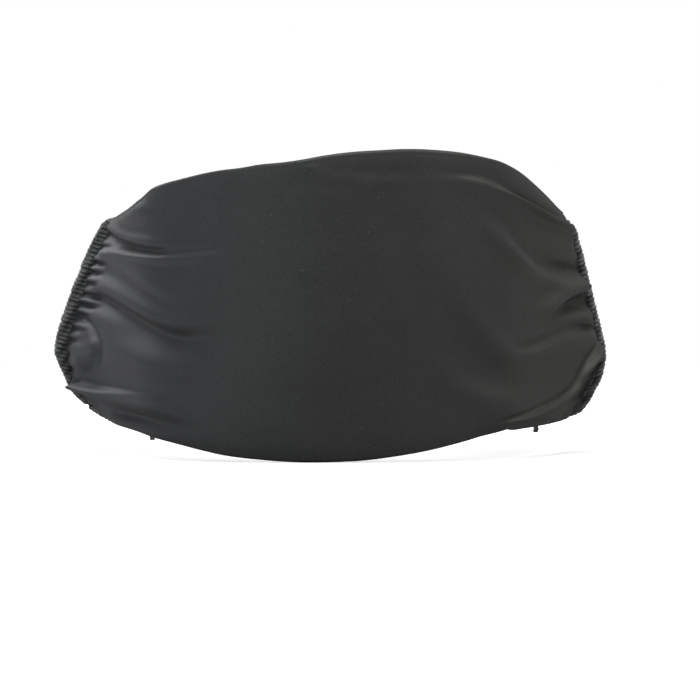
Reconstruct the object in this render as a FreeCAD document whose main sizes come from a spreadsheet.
import FreeCAD, Part
import math
import os
import Sketcher

# Sleep eye mask, worn shape, in millimetres.
# +Z up, -Y the way the wearer faces, +X the wearer's left.
# The origin is under the middle of the mask, on the plane it stands on.
# The front is a flat-centred padded pillow whose wings curve back round the
# temples; a wide two-layer knit band closes the loop behind the head.

Vector = FreeCAD.Vector
Placement = FreeCAD.Placement
Rotation = FreeCAD.Rotation
Constraint = Sketcher.Constraint

PARAMS = [
    # plan of the front; depths are distances from the X axis towards -Y
    ("front_depth", 108.0),        # outer face of the flat centre
    ("flat_half", 30.0),           # half width of the flat centre
    ("wing_radius", 110.0),        # outer face of the wings
    ("lining_depth", 97.0),        # face side of the lining at the centre
    ("shell_radius", 122.4),       # face side of the lining on the wings
    ("wing_end", 124.0),           # stock half width before the outline is cut
    ("stock_height", 125.0),
    ("outer_thick", 1.0),
    ("blackout_thick", 0.6),
    ("lining_thick", 0.9),
    ("layer_gap", 0.15),
    ("lining_inset", 0.4),         # lining and interlining edge, inside the outline
    ("hollow_inset", 1.4),         # inside of the lining's rim, inside the outline
    ("foam_gap", 0.25),
    ("foam_inset", 5.0),
    ("foam_end_inset", 12.0),      # foam stock end, short of wing_end
    # elevation of the front, +X half: polygon corners and their radii
    ("brow_x", 56.0), ("brow_z", 104.5), ("brow_r", 60.0),
    ("temple_x", 100.0), ("temple_z", 99.0), ("temple_r", 8.0),
    ("cheek_x", 119.5), ("cheek_z", 35.0), ("cheek_r", 20.0),
    ("jaw_x", 92.0), ("jaw_z", 10.0), ("jaw_r", 40.0),
    ("lobe_x", 60.0), ("lobe_z", 4.0), ("lobe_r", 34.0),
    ("nose_low_x", 30.0), ("nose_low_z", 4.6), ("nose_low_r", 14.0),
    ("nose_top_x", 12.0), ("nose_top_z", 34.0), ("nose_top_r", 11.0),
    # overlock beads round the edge
    ("edge_gap", 0.2), ("edge_width", 1.7), ("edge_depth", 2.6),
    ("edge_end_extra", 4.0),       # bead stock end, beyond wing_end
    ("side_bead_low", 15.0), ("side_bead_high", 95.5),
    ("side_bead_x_min", 92.0), ("side_bead_x_max", 140.0),
    ("bead_gap", 0.3),             # between the side beads and the edge bead
    ("seam_stack", 2.6),           # side bead depth beyond the lining
    # furrows across the side beads
    ("furrow_width", 0.6), ("furrow_depth", 0.8), ("furrow_reach", 2.0),
    ("furrow_start", 13.5),        # first furrow, along the seam from the cheek corner
    ("furrow_pitch", 2.2), ("furrow_count", 23.0),
    # needle stitches of the side seams
    ("needle_inset", 1.4), ("needle_pitch", 2.4), ("needle_length", 1.5), ("needle_r", 0.3),
    ("needle_lift", 0.15),         # clearance over the lining
    ("needle_x_min", 90.0),
    ("needle_low_margin", 4.0), ("needle_high_margin", 2.0),
    # rear band, plan
    ("band_centre_y", 30.0),
    ("band_radius", 77.55),        # middle of the outer layer
    ("band_thick", 0.9),
    ("band_spread", 4.6),          # distance between the two layers behind the head
    ("band_side_spread", 2.6),
    ("band_seam_step", 1.6),       # the same distance at the side seams
    ("seam_x_top", 97.0), ("seam_y_top", 75.0), ("seam_z_top", 94.0),
    ("seam_x_low", 111.0), ("seam_y_low", 64.2), ("seam_z_low", 26.0),
    # rear band, edge heights from the seam to the middle of the back
    ("side_low", 13.0), ("side_high", 99.0),
    ("turn_low", 8.0), ("turn_high", 109.0),
    ("nape_low", 3.5), ("nape_high", 114.0),
    ("back_low", 0.0), ("back_high", 116.0),
    ("inner_drop", 1.6),           # inner layer, inside both edges of the outer
    # nose flap
    ("flap_width", 50.0), ("flap_tip", 34.0), ("flap_height", 27.0),
    ("flap_thick", 3.0), ("flap_wall", 0.6), ("flap_corner", 7.0),
    ("flap_top", 54.0), ("flap_gap", 0.8), ("flap_tilt", 10.0),
    ("flap_foam_gap", 0.2),
    # hem stitches of the flap; low and high are measured up from its lower edge
    ("hem_half_length", 0.9), ("hem_low", 2.2), ("hem_high", 2.7),
    ("hem_thick", 0.4), ("hem_gap", 0.05),
    ("hem_pitch", 2.6), ("hem_count", 11.0),
    # care label
    ("label_width", 14.0), ("label_length", 24.0), ("label_thick", 0.5), ("label_z", 66.0),
    ("label_seam_x", 98.0), ("label_lift", 1.0),
    ("label_run", 0.84),           # X run of the label as a share of its length
]

OUTLINE = ["brow", "temple", "cheek", "jaw", "lobe", "nose_low", "nose_top"]
SIDES = (("left", 1), ("right", -1))

# Rectangles (x0, z0, x1, z1) larger than the front, cut away round what is kept
OUTLINE_WASTE = (-160, -30, 160, 160)
BEAD_WASTE = (-170, -40, 170, 170)

WIRE_STEP = 0.5  # spacing of the points sampled along the needle line

# Stations of the band after the seam, +X half: shares of the straight run from the
# seam to the back curve, then angles round the curve, from +X to the middle of the back
BAND_SIDE_RUN = (0.22, 0.48, 0.74)
BAND_BACK_ANGLES = (14, 33, 52, 71, 90)
# One row for each of those stations: the two heights mixed and the share of the first,
# then the two inward offsets mixed and the share of the second
BAND_MIXES = [
    ("side", "seam_z", 0.75, "seam", "side", 0.5),
    ("side", "turn", 1.0, "side", "side", 0.0),
    ("turn", "side", 0.5, "side", "side", 0.0),
    ("turn", "nape", 1.0, "side", "side", 0.0),
    ("nape", "turn", 0.55, "side", "back", 0.35),
    ("nape", "back", 1.0, "side", "back", 0.75),
    ("back", "nape", 0.75, "back", "back", 0.0),
    ("back", "nape", 1.0, "back", "back", 0.0),
]

doc = FreeCAD.newDocument("sleep_eye_mask")
sheet = doc.addObject("Spreadsheet::Sheet", "Params")
for row, (alias, value) in enumerate(PARAMS, start=1):
    sheet.set("A%d" % row, alias)
    sheet.set("B%d" % row, "%s" % value)
    sheet.setAlias("B%d" % row, alias)
doc.recompute()


# ---------------------------------------------------------------- values and features

def dim(alias):
    return float(sheet.get(alias))


def value_of(expression):
    """The value of a sum of products of sheet cells, such as 'Params.a - Params.b*2'."""
    total, sign = 0.0, 1.0
    for token in expression.split():
        if token == "+":
            sign = 1.0
        elif token == "-":
            sign = -1.0
        else:
            product = 1.0
            for factor in token.split("*"):
                is_cell = factor.startswith("Params.")
                product *= dim(factor[len("Params."):]) if is_cell else float(factor)
            total += sign * product
    return total


def new_body(name, label=None):
    body = doc.addObject("PartDesign::Body", name)
    body.Label = label or name
    return body


def new_sketch(body, role, name, offset=None):
    sketch = body.newObject("Sketcher::SketchObject", name)
    plane = [f for f in body.Origin.OriginFeatures if f.Role == role][0]
    sketch.AttachmentSupport = [(plane, "")]
    sketch.MapMode = "FlatFace"
    if offset is not None:
        sketch.AttachmentOffset = offset
    return sketch


def bind(sketch, kind, args, value, expression=None):
    """Adds one dimension to a sketch and ties it to the sheet."""
    index = sketch.addConstraint(Constraint(kind, *args, value))
    if expression:
        sketch.setExpression("Constraints[%d]" % index, expression)


def pad(body, sketch, expression, reverse=False):
    feature = body.newObject("PartDesign::Pad", body.Name + "_pad%d" % len(body.Group))
    feature.Profile = sketch
    feature.SideType = "One side"
    feature.Length = value_of(expression)
    feature.setExpression("Length", expression)
    feature.Reversed = reverse
    return feature


def cut_through(body, sketch):
    """A pocket through everything both ways; one that removes nothing is an error."""
    doc.recompute()
    before = body.Shape.Volume
    feature = body.newObject("PartDesign::Pocket", body.Name + "_cut%d" % len(body.Group))
    feature.Profile = sketch
    feature.Type = "ThroughAll"
    feature.SideType = "Symmetric"
    doc.recompute()
    if not body.Shape.Volume < before - 1e-3:
        raise SystemExit("%s: the pocket cut nothing" % body.Label)
    return feature


def linear_row(body, name, feature, direction, prefix, by_spacing=False):
    """Repeats a feature by the sheet's <prefix>_pitch and <prefix>_count."""
    pattern = body.newObject("PartDesign::LinearPattern", name)
    pattern.Originals = [feature]
    pattern.Direction = direction
    # not every release names a Spacing mode; without it the length alone sets the row
    by_spacing = by_spacing and "Spacing" in pattern.getEnumerationsOfProperty("Mode")
    if by_spacing:
        pattern.Mode = "Spacing"
    count = int(dim(prefix + "_count"))
    pattern.Length = dim(prefix + "_pitch") * (count - 1)
    pattern.setExpression("Length", "Params.%s_pitch * (Params.%s_count - 1)" % (prefix, prefix))
    if by_spacing:
        pattern.setExpression("Offset", "Params.%s_pitch" % prefix)
    pattern.Occurrences = count
    body.Tip = pattern


def cut_shapes(name, label, base, tool):
    cut = doc.addObject("Part::Cut", name)
    cut.Base = base
    cut.Tool = tool
    cut.Label = label
    return cut


# ---------------------------------------------------------------- sketch geometry

def rectangle(sketch, x0, y0, x1, y1, expressions=(None,) * 4):
    """Adds a rectangle; the expressions are for x0, y0, x1, y1."""
    first = len(sketch.Geometry)
    corners = [Vector(x0, y0, 0), Vector(x1, y0, 0), Vector(x1, y1, 0), Vector(x0, y1, 0)]
    sketch.addGeometry(
        [Part.LineSegment(corners[i], corners[(i + 1) % 4]) for i in range(4)], False)
    sketch.addConstraint(
        [Constraint("Coincident", first + i, 2, first + (i + 1) % 4, 1) for i in range(4)])
    sketch.addConstraint([
        Constraint("Horizontal", first), Constraint("Horizontal", first + 2),
        Constraint("Vertical", first + 1), Constraint("Vertical", first + 3)])
    bind(sketch, "DistanceX", (first, 1), x0, expressions[0])
    bind(sketch, "DistanceY", (first, 1), y0, expressions[1])
    bind(sketch, "DistanceX", (first + 1, 2), x1, expressions[2])
    bind(sketch, "DistanceY", (first + 1, 2), y1, expressions[3])


def rounding(before, corner, after, radius):
    """Start, end and centre of the arc that rounds a corner."""
    back = (before - corner).normalize()
    ahead = (after - corner).normalize()
    half_angle = math.acos(max(-1, min(1, back.dot(ahead)))) / 2
    reach = radius / math.tan(half_angle)
    centre = corner + (back + ahead).normalize() * (radius / math.sin(half_angle))
    return corner + back * reach, corner + ahead * reach, centre


def arc_between(begin, end, centre, radius):
    """Counter-clockwise sketch arc."""
    angle0 = math.atan2(begin.y - centre.y, begin.x - centre.x)
    angle1 = math.atan2(end.y - centre.y, end.x - centre.x)
    if angle1 < angle0:
        angle1 += 2 * math.pi
    return Part.ArcOfCircle(Part.Circle(centre, Vector(0, 0, 1), radius), angle0, angle1)


def layer_plan(body, name, outer, inner, end_x):
    """Plan of one curved layer: a flat centre and two wings.
    outer and inner are surfaces: expressions for flat depth and wing radius."""
    sketch = new_sketch(body, "XY_Plane", name)
    flat, end = dim("flat_half"), value_of(end_x)
    outer_y, outer_r = (value_of(e) for e in outer)
    inner_y, inner_r = (value_of(e) for e in inner)

    def wing(side, depth, radius):
        centre = Vector(side * flat, -depth + radius, 0)
        sweep = math.asin((end - flat) / radius)
        start = -math.pi / 2 if side > 0 else -math.pi / 2 - sweep
        stop = -math.pi / 2 + sweep if side > 0 else -math.pi / 2
        return Part.ArcOfCircle(Part.Circle(centre, Vector(0, 0, 1), radius), start, stop)

    def end_point(side, depth, radius):
        sweep = math.asin((end - flat) / radius)
        return Vector(side * end, -depth + radius - radius * math.cos(sweep), 0)

    sketch.addGeometry([
        Part.LineSegment(Vector(-flat, -outer_y, 0), Vector(flat, -outer_y, 0)),  # 0 outer flat
        wing(1, outer_y, outer_r),                                                # 1 outer, +X
        Part.LineSegment(end_point(1, outer_y, outer_r),
                         end_point(1, inner_y, inner_r)),                         # 2 end, +X
        wing(1, inner_y, inner_r),                                                # 3 inner, +X
        Part.LineSegment(Vector(flat, -inner_y, 0), Vector(-flat, -inner_y, 0)),  # 4 inner flat
        wing(-1, inner_y, inner_r),                                               # 5 inner, -X
        Part.LineSegment(end_point(-1, inner_y, inner_r),
                         end_point(-1, outer_y, outer_r)),                        # 6 end, -X
        wing(-1, outer_y, outer_r),                                               # 7 outer, -X
    ], False)
    sketch.addConstraint([
        Constraint("Horizontal", 0), Constraint("Horizontal", 4),
        Constraint("Vertical", 2), Constraint("Vertical", 6),
        Constraint("Tangent", 0, 2, 1, 1), Constraint("Tangent", 7, 2, 0, 1),
        Constraint("Tangent", 4, 1, 3, 1), Constraint("Tangent", 5, 2, 4, 2),
        Constraint("Coincident", 1, 2, 2, 1), Constraint("Coincident", 2, 2, 3, 2),
        Constraint("Coincident", 5, 1, 6, 1), Constraint("Coincident", 6, 2, 7, 1),
    ])
    bind(sketch, "DistanceY", (0, 1), -outer_y, "-(%s)" % outer[0])
    bind(sketch, "DistanceX", (0, 1), -flat, "-Params.flat_half")
    bind(sketch, "DistanceX", (0, 2), flat, "Params.flat_half")
    bind(sketch, "DistanceY", (4, 1), -inner_y, "-(%s)" % inner[0])
    bind(sketch, "DistanceX", (4, 1), flat, "Params.flat_half")
    bind(sketch, "DistanceX", (4, 2), -flat, "-Params.flat_half")
    bind(sketch, "DistanceX", (2, 1), end, end_x)
    bind(sketch, "DistanceX", (6, 1), -end, "-(%s)" % end_x)
    for arc, radius, expression in ((1, outer_r, outer[1]), (7, outer_r, outer[1]),
                                    (3, inner_r, inner[1]), (5, inner_r, inner[1])):
        bind(sketch, "Radius", (arc,), radius, expression)
    return sketch


def outline_corners(grow):
    """Corners of the front outline moved out by grow, clockwise from the +X brow:
    (point, radius, x expression, z expression, radius expression), z held in point.y."""
    half = [Vector(dim(n + "_x"), dim(n + "_z"), 0) for n in OUTLINE]
    loop = half + [Vector(-q.x, q.y, 0) for q in reversed(half)]
    corners = []
    for i, name in enumerate(OUTLINE):
        ahead_in = (loop[i] - loop[i - 1]).normalize()
        ahead_out = (loop[i + 1] - loop[i]).normalize()
        # the outside is on the left of a clockwise loop
        bisector = Vector(-ahead_in.y, ahead_in.x, 0) + Vector(-ahead_out.y, ahead_out.x, 0)
        shift = bisector * (grow * 2.0 / bisector.Length ** 2)
        convex = ahead_in.cross(ahead_out).z < 0
        radius_change = grow if convex else -grow
        corners.append((loop[i] + shift, dim(name + "_r") + radius_change,
                        "Params.%s_x + %.6f" % (name, shift.x),
                        "Params.%s_z + %.6f" % (name, shift.y),
                        "Params.%s_r + %.6f" % (name, radius_change)))
    mirrored = [(Vector(-q.x, q.y, 0), radius, "-(%s)" % x_exp, z_exp, r_exp)
                for q, radius, x_exp, z_exp, r_exp in reversed(corners)]
    return corners + mirrored


def outline_loop(sketch, grow):
    """Adds the closed front outline, moved out by grow, with rounded corners."""
    first = len(sketch.Geometry)
    corners = outline_corners(grow)
    count = len(corners)
    rounds = [rounding(corners[i - 1][0], corners[i][0], corners[(i + 1) % count][0],
                       corners[i][1]) for i in range(count)]
    geometry, constraints = [], []
    for i, (start, end, centre) in enumerate(rounds):
        geometry.append(Part.LineSegment(rounds[i - 1][1], start))
        forward = (start - centre).cross(end - centre).z > 0
        begin, stop = (start, end) if forward else (end, start)
        geometry.append(arc_between(begin, stop, centre, corners[i][1]))
        line, arc, following = first + 2 * i, first + 2 * i + 1, first + (2 * i + 2) % (2 * count)
        arc_in, arc_out = (1, 2) if forward else (2, 1)
        constraints += [Constraint("Tangent", line, 2, arc, arc_in),
                        Constraint("Tangent", arc, arc_out, following, 1)]
    sketch.addGeometry(geometry, False)
    sketch.addConstraint(constraints)
    # a construction point at each polygon corner carries its dimensions
    for i, (corner, radius, x_exp, z_exp, r_exp) in enumerate(corners):
        point = sketch.addGeometry(Part.Point(corner), True)
        for line in (first + 2 * i, first + (2 * i + 2) % (2 * count)):
            sketch.addConstraint(Constraint("PointOnObject", point, 1, line))
        bind(sketch, "DistanceX", (point, 1), corner.x, x_exp)
        bind(sketch, "DistanceY", (point, 1), corner.y, z_exp)
        bind(sketch, "Radius", (first + 2 * i + 1,), radius, r_exp)


def outline_wire(grow):
    """The rounded outline, moved out by grow, as a wire in the XZ plane."""
    loop = [(Vector(q.x, 0, q.y), radius) for q, radius, *_ in outline_corners(grow)]
    arcs = []
    for i, (corner, radius) in enumerate(loop):
        start, end, centre = rounding(loop[i - 1][0], corner, loop[(i + 1) % len(loop)][0], radius)
        arcs.append((start, centre + (corner - centre).normalize() * radius, end))
    edges = []
    for i, arc in enumerate(arcs):
        edges.append(Part.makeLine(arcs[i - 1][2], arc[0]))
        edges.append(Part.Arc(*arc).toShape())
    return Part.Wire(edges)


def lining_y(x, lift):
    """Y of the face side of the lining at x, raised off it by lift."""
    radius = dim("shell_radius") - lift
    across = max(abs(x) - dim("flat_half"), 0.0)
    return -dim("lining_depth") + dim("shell_radius") - math.sqrt(radius ** 2 - across ** 2)


# ---------------------------------------------------------------- front layers

def front_surface(inset=""):
    """The outer face of the front moved in; the inset is written ' - Params.a - ...'."""
    return "Params.front_depth" + inset, "Params.wing_radius" + inset


def lining_surface(outset=""):
    """The face side of the lining moved towards the outer face."""
    return "Params.lining_depth" + outset, "Params.shell_radius" + outset


PANEL_BACK = " - Params.outer_thick"
BLACKOUT_FRONT = PANEL_BACK + " - Params.layer_gap"
BLACKOUT_BACK = BLACKOUT_FRONT + " - Params.blackout_thick"
LINING_FRONT = BLACKOUT_BACK + " - Params.layer_gap"


def front_layer(name, outer, inner, grow, label=None, end_x="Params.wing_end"):
    """One layer of the front: its plan padded to full height, then trimmed to the outline."""
    body = new_body(name, label)
    pad(body, layer_plan(body, name + "_plan", outer, inner, end_x), "Params.stock_height")
    doc.recompute()
    waste = new_sketch(body, "XZ_Plane", name + "_outline")
    rectangle(waste, *OUTLINE_WASTE)
    outline_loop(waste, grow)
    cut_through(body, waste)
    return body


def outer_panel():
    return front_layer("front_outer_panel", front_surface(), front_surface(PANEL_BACK), 0.0)


def blackout_interlining():
    """Opaque sheet straight behind the outer panel."""
    return front_layer("blackout_interlining", front_surface(BLACKOUT_FRONT),
                       front_surface(BLACKOUT_BACK), -dim("lining_inset"))


def inner_lining():
    """A shallow tray of soft fabric whose rim turns up to the interlining."""
    block = front_layer("lining_block", front_surface(LINING_FRONT), lining_surface(),
                        -dim("lining_inset"))
    hollow = front_layer("lining_hollow", front_surface(),
                         lining_surface(" + Params.lining_thick"), -dim("hollow_inset"))
    return cut_shapes("lining_cut", "front_inner_lining", block, hollow)


def foam_pad():
    """Foam core, thinner towards the wings, loose inside the lining's tray."""
    return front_layer(
        "foam_core", front_surface(LINING_FRONT + " - Params.foam_gap"),
        lining_surface(" + Params.lining_thick + Params.foam_gap"), -dim("foam_inset"),
        label="front_foam_pad", end_x="Params.wing_end - Params.foam_end_inset")


# ---------------------------------------------------------------- edge stitching

def edge_ring(name, label, inner):
    """A closed bead just outside the front outline."""
    body = front_layer(name, front_surface(" - Params.edge_gap"), inner,
                       dim("edge_gap") + dim("edge_width"), label=label,
                       end_x="Params.wing_end + Params.edge_end_extra")
    inside = new_sketch(body, "XZ_Plane", name + "_inside")
    outline_loop(inside, dim("edge_gap"))
    cut_through(body, inside)
    return body


def side_window(sketch, sign, low, high):
    """Rectangle round the bead of one side seam; low and high are expressions."""
    x0, x1 = sorted((sign * dim("side_bead_x_min"), sign * dim("side_bead_x_max")))
    near, far = "Params.side_bead_x_min", "Params.side_bead_x_max"
    x0_exp, x1_exp = (near, far) if sign > 0 else ("-" + far, "-" + near)
    rectangle(sketch, x0, value_of(low), x1, value_of(high), [x0_exp, low, x1_exp, high])


def edge_overlock():
    """Corded runs along the top and bottom edges, open at the side seams."""
    body = edge_ring("edge_overlock", "front_edge_overlock",
                     front_surface(" - Params.edge_gap - Params.edge_depth"))
    sides = new_sketch(body, "XZ_Plane", "edge_overlock_sides")
    for _, sign in SIDES:
        side_window(sides, sign, "Params.side_bead_low - Params.bead_gap",
                    "Params.side_bead_high + Params.bead_gap")
    cut_through(body, sides)
    return body


def side_overlock(side, sign):
    """A deeper bead down one side seam that also caps the ends of the rear band,
    with a furrow between one thread loop and the next."""
    body = edge_ring(side + "_bead", side + "_side_overlock",
                     ("Params.lining_depth - Params.seam_stack",
                      "Params.shell_radius + Params.seam_stack"))
    waste = new_sketch(body, "XZ_Plane", side + "_bead_ends")
    rectangle(waste, *BEAD_WASTE)
    side_window(waste, sign, "Params.side_bead_low", "Params.side_bead_high")
    cut_through(body, waste)

    # one small cut across the outside of the bead, repeated up the straight of the seam
    corners = outline_corners(dim("edge_gap") + dim("edge_width"))
    temple, cheek = (corners[OUTLINE.index(n)][0] for n in ("temple", "cheek"))
    run = temple - cheek
    angle = math.degrees(math.atan2(run.y, sign * run.x)) - 90.0
    start = cheek + run * (dim("furrow_start") / run.Length)
    furrow = new_sketch(body, "XZ_Plane", side + "_furrow", Placement(
        Vector(sign * start.x, start.y, 0), Rotation(Vector(0, 0, 1), angle)))
    half = dim("furrow_width") / 2
    x0, x1 = sorted((-sign * dim("furrow_depth"), sign * dim("furrow_reach")))
    depth, reach = "Params.furrow_depth", "Params.furrow_reach"
    x0_exp, x1_exp = ("-" + depth, reach) if sign > 0 else ("-" + reach, depth)
    rectangle(furrow, x0, -half, x1, half,
              [x0_exp, "-Params.furrow_width*0.5", x1_exp, "Params.furrow_width*0.5"])
    cut = cut_through(body, furrow)
    linear_row(body, side + "_furrows", cut, (furrow, ["V_Axis"]), "furrow", by_spacing=True)
    return body


def seam_thread(side, sign):
    """Row of short needle stitches on the face side of one side seam."""
    low = dim("side_bead_low") + dim("needle_low_margin")
    high = dim("side_bead_high") - dim("needle_high_margin")
    points = [q for q in outline_wire(-dim("needle_inset")).discretize(Distance=WIRE_STEP)
              if q.x * sign > dim("needle_x_min") and low < q.z < high]
    points.sort(key=lambda q: q.z)
    radius = dim("needle_r")
    lift = radius + dim("needle_lift")
    stitches, travelled, last = [], dim("needle_pitch"), points[0]
    for here, following in zip(points, points[1:]):
        travelled += (here - last).Length
        last = here
        if travelled < dim("needle_pitch"):
            continue
        travelled = 0.0
        start = Vector(here.x, lining_y(here.x, lift), here.z)
        target = Vector(following.x, lining_y(following.x, lift), following.z)
        direction = (target - start).normalize()
        stitches.append(Part.makeCylinder(radius, dim("needle_length"), start, direction))
    feature = doc.addObject("Part::Feature", side + "_needle")
    feature.Shape = Part.makeCompound(stitches)
    feature.Label = side + "_seam_thread"
    return feature


# ---------------------------------------------------------------- nose flap
# A soft flap sewn to the lining above the nose notch, hanging on its face side.
# It is drawn with its top edge at the origin, then tilted and lifted into place.

def place_flap(piece):
    piece.Placement = Placement(Vector(0, -dim("lining_depth"), dim("flap_top")),
                                Rotation(Vector(1, 0, 0), dim("flap_tilt")))
    piece.setExpression(".Placement.Base.y", "-Params.lining_depth")
    piece.setExpression(".Placement.Base.z", "Params.flap_top")


def flap_slab(name, inset, rise, offset, thickness, label=None):
    """A tapering slab with rounded lower corners. inset moves its sides and lower edge in,
    rise is the height of its top edge, offset its distance from the lining."""
    body = new_body(name, label)
    sketch = new_sketch(body, "XZ_Plane", name + "_outline",
                        Placement(Vector(0, 0, -value_of(offset)), Rotation()))
    sketch.setExpression(".AttachmentOffset.Base.z", "-(%s)" % offset)
    lean = (dim("flap_width") - dim("flap_tip")) / 2 / dim("flap_height")
    top = dim("flap_width") / 2 + lean * rise - inset
    tip = dim("flap_tip") / 2 + lean * inset - inset
    drop = dim("flap_height") - inset
    lean_exp = "(Params.flap_width - Params.flap_tip)/2/Params.flap_height"
    top_exp = "Params.flap_width/2 + %s*(%s) - %s" % (lean_exp, rise, inset)
    tip_exp = "Params.flap_tip/2 + %s*%s - %s" % (lean_exp, inset, inset)
    radius = dim("flap_corner") - inset
    top_left, top_right = Vector(-top, rise, 0), Vector(top, rise, 0)
    low_right, low_left = Vector(tip, -drop, 0), Vector(-tip, -drop, 0)
    start1, end1, centre1 = rounding(top_right, low_right, low_left, radius)
    start2, end2, centre2 = rounding(low_right, low_left, top_left, radius)
    sketch.addGeometry([
        Part.LineSegment(top_left, top_right),
        Part.LineSegment(top_right, start1),
        arc_between(end1, start1, centre1, radius),
        Part.LineSegment(end1, start2),
        arc_between(end2, start2, centre2, radius),
        Part.LineSegment(end2, top_left)], False)
    sketch.addConstraint([
        Constraint("Coincident", 0, 2, 1, 1), Constraint("Tangent", 1, 2, 2, 2),
        Constraint("Tangent", 2, 1, 3, 1), Constraint("Tangent", 3, 2, 4, 2),
        Constraint("Tangent", 4, 1, 5, 1), Constraint("Coincident", 5, 2, 0, 1),
        Constraint("Horizontal", 0), Constraint("Horizontal", 3)])
    bind(sketch, "DistanceX", (0, 1), -top, "-(%s)" % top_exp)
    bind(sketch, "DistanceX", (0, 2), top, top_exp)
    bind(sketch, "DistanceY", (0, 1), rise)
    bind(sketch, "DistanceY", (3, 1), -drop, "-(Params.flap_height - %s)" % inset)
    for arc in (2, 4):
        bind(sketch, "Radius", (arc,), radius, "Params.flap_corner - %s" % inset)
    for line, x, expression in ((1, tip, tip_exp), (5, -tip, "-(%s)" % tip_exp)):
        point = sketch.addGeometry(Part.Point(Vector(x, -drop, 0)), True)
        sketch.addConstraint([Constraint("PointOnObject", point, 1, line),
                              Constraint("PointOnObject", point, 1, 3)])
        bind(sketch, "DistanceX", (point, 1), x, expression)
    pad(body, sketch, thickness, reverse=True)
    return body


def flap_cover():
    """Fabric sleeve, open along its top edge."""
    outer = flap_slab("flap_outer", inset=0.0, rise=0.0, offset="Params.flap_gap",
                      thickness="Params.flap_thick")
    hollow = flap_slab("flap_inner", inset=0.8, rise=2.0,
                       offset="Params.flap_gap + Params.flap_wall",
                       thickness="Params.flap_thick - Params.flap_wall*2")
    cover = cut_shapes("flap_cover", "nose_flap_cover", outer, hollow)
    place_flap(cover)
    return cover


def flap_foam():
    foam = flap_slab(
        "flap_foam", inset=1.2, rise=-1.5,
        offset="Params.flap_gap + Params.flap_wall + Params.flap_foam_gap",
        thickness="Params.flap_thick - Params.flap_wall*2 - Params.flap_foam_gap*2",
        label="nose_flap_foam")
    place_flap(foam)
    return foam


def flap_stitching():
    """Row of stitches along the lower hem of the flap, on the face side."""
    body = new_body("flap_hem", "nose_flap_stitching")
    offset = "Params.flap_gap + Params.flap_thick + Params.hem_gap"
    sketch = new_sketch(body, "XZ_Plane", "flap_hem_stitch",
                        Placement(Vector(0, 0, -value_of(offset)), Rotation()))
    sketch.setExpression(".AttachmentOffset.Base.z", "-(%s)" % offset)
    middle = -dim("hem_pitch") * (dim("hem_count") - 1) / 2
    middle_exp = "-Params.hem_pitch*(Params.hem_count - 1)*0.5"
    half = dim("hem_half_length")
    rectangle(sketch, middle - half, -dim("flap_height") + dim("hem_low"),
              middle + half, -dim("flap_height") + dim("hem_high"),
              [middle_exp + " - Params.hem_half_length", "-Params.flap_height + Params.hem_low",
               middle_exp + " + Params.hem_half_length", "-Params.flap_height + Params.hem_high"])
    stitch = pad(body, sketch, "Params.hem_thick", reverse=True)
    doc.recompute()
    linear_row(body, "flap_hem_row", stitch, (sketch, ["H_Axis"]), "hem")
    place_flap(body)
    return body


# ---------------------------------------------------------------- care label

def care_label():
    """Flat label sewn into the right side seam, lying along the lining."""
    box = doc.addObject("Part::Box", "label_box")
    box.Label = "care_label"
    for prop, alias in (("Length", "label_length"), ("Width", "label_thick"),
                        ("Height", "label_width")):
        setattr(box, prop, dim(alias))
        box.setExpression(prop, "Params." + alias)
    seam_x = -dim("label_seam_x")
    free_x = seam_x + dim("label_length") * dim("label_run")
    seam_y, free_y = (lining_y(x, dim("label_lift")) for x in (seam_x, free_x))
    heading = math.degrees(math.atan2(free_y - seam_y, free_x - seam_x))
    box.Placement = Placement(Vector(seam_x, seam_y, dim("label_z")),
                              Rotation(Vector(0, 0, 1), heading))
    box.setExpression(".Placement.Base.z", "Params.label_z")
    return box


# ---------------------------------------------------------------- rear band
# Two fabric layers, each a thin sheet lofted through upright sections: slanted
# along the side seam, straight down the side of the head, then round the back.
# A station is (base, outward normal, up, height, base z expression, height expression).

def outward(degrees):
    return Vector(math.cos(math.radians(degrees)), math.sin(math.radians(degrees)), 0)


def back_point(degrees):
    normal = outward(degrees)
    radius = dim("band_radius")
    return Vector(radius * normal.x, dim("band_centre_y") + radius * normal.y, 0)


def band_stations(offsets, drop):
    """Stations of the +X half, from the side seam to the middle of the back."""
    low, top = (Vector(dim("seam_x_" + end), -dim("seam_y_" + end), dim("seam_z_" + end))
                for end in ("low", "top"))
    slant = top - low
    up = (top - low).normalize()
    side_normal = outward(BAND_BACK_ANGLES[0])
    normal = (side_normal - up * side_normal.dot(up)).normalize()
    base = low + slant * (value_of(drop) / slant.Length) - normal * offsets["seam"]
    stations = [(base, normal, up, slant.Length - 2 * value_of(drop), None, None)]

    seam_middle = (low + top) * 0.5
    seam_middle.z = 0
    side_run = back_point(BAND_BACK_ANGLES[0]) - seam_middle
    plan = [(seam_middle + side_run * share, side_normal) for share in BAND_SIDE_RUN]
    plan += [(back_point(angle), outward(angle)) for angle in BAND_BACK_ANGLES]

    def mixed_height(one, two, share, end):
        names = ["seam_z_" + end.replace("high", "top") if n == "seam_z" else n + "_" + end
                 for n in (one, two)]
        return "Params.%s*%s + Params.%s*%s" % (names[0], share, names[1], round(1 - share, 4))

    for (point, normal), (one, two, share, near, far, blend) in zip(plan, BAND_MIXES):
        offset = offsets[near] + (offsets[far] - offsets[near]) * blend
        low_exp = mixed_height(one, two, share, "low")
        high_exp = mixed_height(one, two, share, "high")
        z_exp = "%s + %s" % (low_exp, drop)
        height_exp = "%s - %s - %s*2" % (high_exp, low_exp.replace(" + ", " - "), drop)
        base = Vector(point.x, point.y, value_of(z_exp)) - normal * offset
        stations.append((base, normal, Vector(0, 0, 1), value_of(height_exp), z_exp, height_exp))
    return stations


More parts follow.
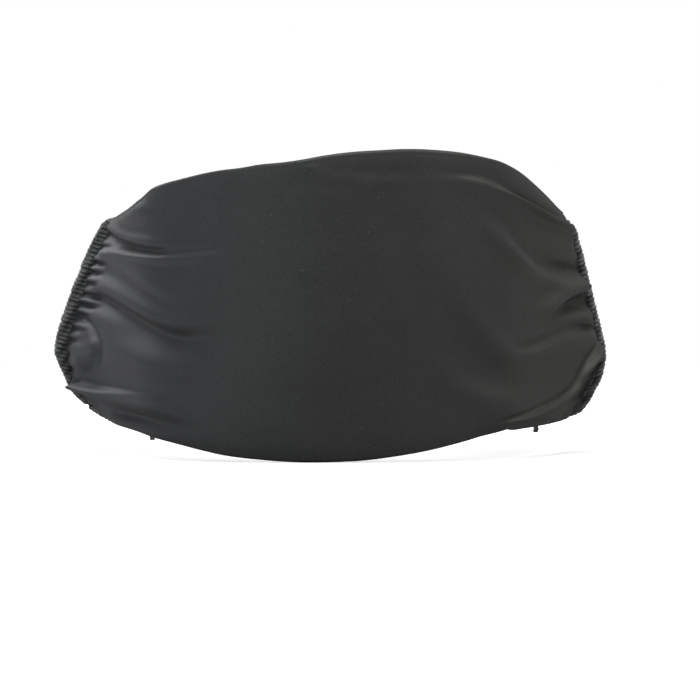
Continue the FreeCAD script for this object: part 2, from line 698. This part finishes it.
def band_layer(name, label, offsets, drop):
    """One layer, offset inwards at the seam, side and back, its edges drawn in by drop."""
    body = new_body(name, label)
    stations = band_stations(offsets, drop)
    mirrored = [tuple(Vector(-v.x, v.y, v.z) for v in station[:3]) + station[3:]
                for station in reversed(stations[:-1])]
    half = dim("band_thick") / 2
    sketches = []
    for i, (base, normal, up, height, z_exp, height_exp) in enumerate(stations + mirrored):
        across = normal.cross(up)
        frame = FreeCAD.Matrix(normal.x, up.x, across.x, 0, normal.y, up.y, across.y, 0,
                               normal.z, up.z, across.z, 0, 0, 0, 0, 1)
        sketch = new_sketch(body, "XY_Plane", "%s_section%d" % (name, i),
                            Placement(base, Placement(frame).Rotation))
        if z_exp:
            sketch.setExpression(".AttachmentOffset.Base.z", z_exp)
        # the mirrored sections are drawn the other way round, so the loft does not twist
        sign, first, second = (1, "-", "") if i < len(stations) else (-1, "", "-")
        rectangle(sketch, -sign * half, 0, sign * half, height,
                  [first + "Params.band_thick*0.5", None,
                   second + "Params.band_thick*0.5", height_exp])
        sketches.append(sketch)
    doc.recompute()
    loft = body.newObject("PartDesign::AdditiveLoft", name + "_loft")
    loft.Profile = sketches[0]
    loft.Sections = sketches[1:]
    loft.Ruled = False
    loft.Closed = False
    doc.recompute()
    return body


# ---------------------------------------------------------------- build and export

parts = [outer_panel(), blackout_interlining(), inner_lining(), foam_pad(), edge_overlock()]
parts += [side_overlock(side, sign) for side, sign in SIDES]
parts += [seam_thread(side, sign) for side, sign in SIDES]
parts += [flap_cover(), flap_foam(), flap_stitching(), care_label()]
parts.append(band_layer("band_outer", "rear_band_outer_layer",
                        {"seam": 0.0, "side": 0.0, "back": 0.0}, "0.0"))
parts.append(band_layer("band_inner", "rear_band_inner_layer",
                        {"seam": dim("band_seam_step"), "side": dim("band_side_spread"),
                         "back": dim("band_spread")}, "Params.inner_drop"))

doc.recompute()
problems = []
for item in doc.Objects:
    if any(word in item.State for word in ("Invalid", "Error")):
        problems.append("%s is %s" % (item.Label, item.State))
for part in parts:
    if part.Shape.isNull() or not part.Shape.isValid():
        problems.append("%s has no valid shape" % part.Label)
if problems:
    raise SystemExit("; ".join(problems))

os.makedirs("parts", exist_ok=True)
for part in parts:
    part.Shape.exportStep("parts/%s.step" % part.Label)
